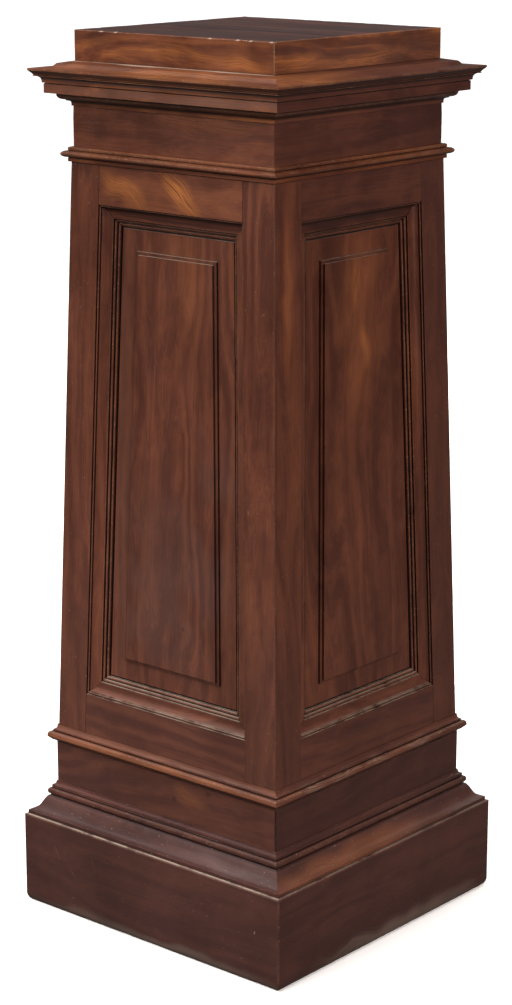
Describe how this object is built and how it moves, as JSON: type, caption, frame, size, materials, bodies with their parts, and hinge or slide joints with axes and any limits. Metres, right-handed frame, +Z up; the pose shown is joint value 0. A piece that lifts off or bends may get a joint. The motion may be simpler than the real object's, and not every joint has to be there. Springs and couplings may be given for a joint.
{
  "type": "wooden pedestal",
  "caption": "Tall square mahogany pedestal with a stepped plinth, a tapering panelled shaft, a moulded cornice and a flat cap that carries a bust or vase.",
  "frame": {"origin": "centre of the square footprint, on the floor", "axes": "+Z up along the pedestal's axis, -Y out of the front face, +X out of the right face"},
  "size_m": [0.442, 0.442, 1.15],
  "materials": {
    "shaft_mahogany": "French-polished, semi-gloss, vertical and horizontal grain",
    "moulding_mahogany": "polished, worn on the arrises, dust in the quirks",
    "plinth_mahogany": "darker polish with scuffs along the edges",
    "cap_mahogany": "polished, golden streaks, chipped top arris"
  },
  "bodies": {
    "root": {"plinth_board_front": "plinth_mahogany", "plinth_board_right": "plinth_mahogany", "plinth_board_back": "plinth_mahogany", "plinth_board_left": "plinth_mahogany", "plinth_moulding_front": "moulding_mahogany", "plinth_moulding_right": "moulding_mahogany", "plinth_moulding_back": "moulding_mahogany", "plinth_moulding_left": "moulding_mahogany", "die_board_front": "plinth_mahogany", "die_board_right": "plinth_mahogany", "die_board_back": "plinth_mahogany", "die_board_left": "plinth_mahogany", "shaft_base_moulding_front": "moulding_mahogany", "shaft_base_moulding_right": "moulding_mahogany", "shaft_base_moulding_back": "moulding_mahogany", "shaft_base_moulding_left": "moulding_mahogany", "left_stile_front": "shaft_mahogany", "left_stile_right": "shaft_mahogany", "left_stile_back": "shaft_mahogany", "left_stile_left": "shaft_mahogany", "right_stile_front": "shaft_mahogany", "right_stile_right": "shaft_mahogany", "right_stile_back": "shaft_mahogany", "right_stile_left": "shaft_mahogany", "bottom_rail_front": "shaft_mahogany", "bottom_rail_right": "shaft_mahogany", "bottom_rail_back": "shaft_mahogany", "bottom_rail_left": "shaft_mahogany", "top_rail_front": "shaft_mahogany", "top_rail_right": "shaft_mahogany", "top_rail_back": "shaft_mahogany", "top_rail_left": "shaft_mahogany", "panel_front": "shaft_mahogany", "panel_right": "shaft_mahogany", "panel_back": "shaft_mahogany", "panel_left": "shaft_mahogany", "panel_moulding_front": "moulding_mahogany", "panel_moulding_right": "moulding_mahogany", "panel_moulding_back": "moulding_mahogany", "panel_moulding_left": "moulding_mahogany", "neck_moulding_front": "moulding_mahogany", "neck_moulding_right": "moulding_mahogany", "neck_moulding_back": "moulding_mahogany", "neck_moulding_left": "moulding_mahogany", "frieze_board_front": "shaft_mahogany", "frieze_board_right": "shaft_mahogany", "frieze_board_back": "shaft_mahogany", "frieze_board_left": "shaft_mahogany", "cornice_front": "moulding_mahogany", "cornice_right": "moulding_mahogany", "cornice_back": "moulding_mahogany", "cornice_left": "moulding_mahogany", "cap_board_front": "cap_mahogany", "cap_board_right": "cap_mahogany", "cap_board_back": "cap_mahogany", "cap_board_left": "cap_mahogany", "cap_top_board": "cap_mahogany"}
  },
  "joints": []
}
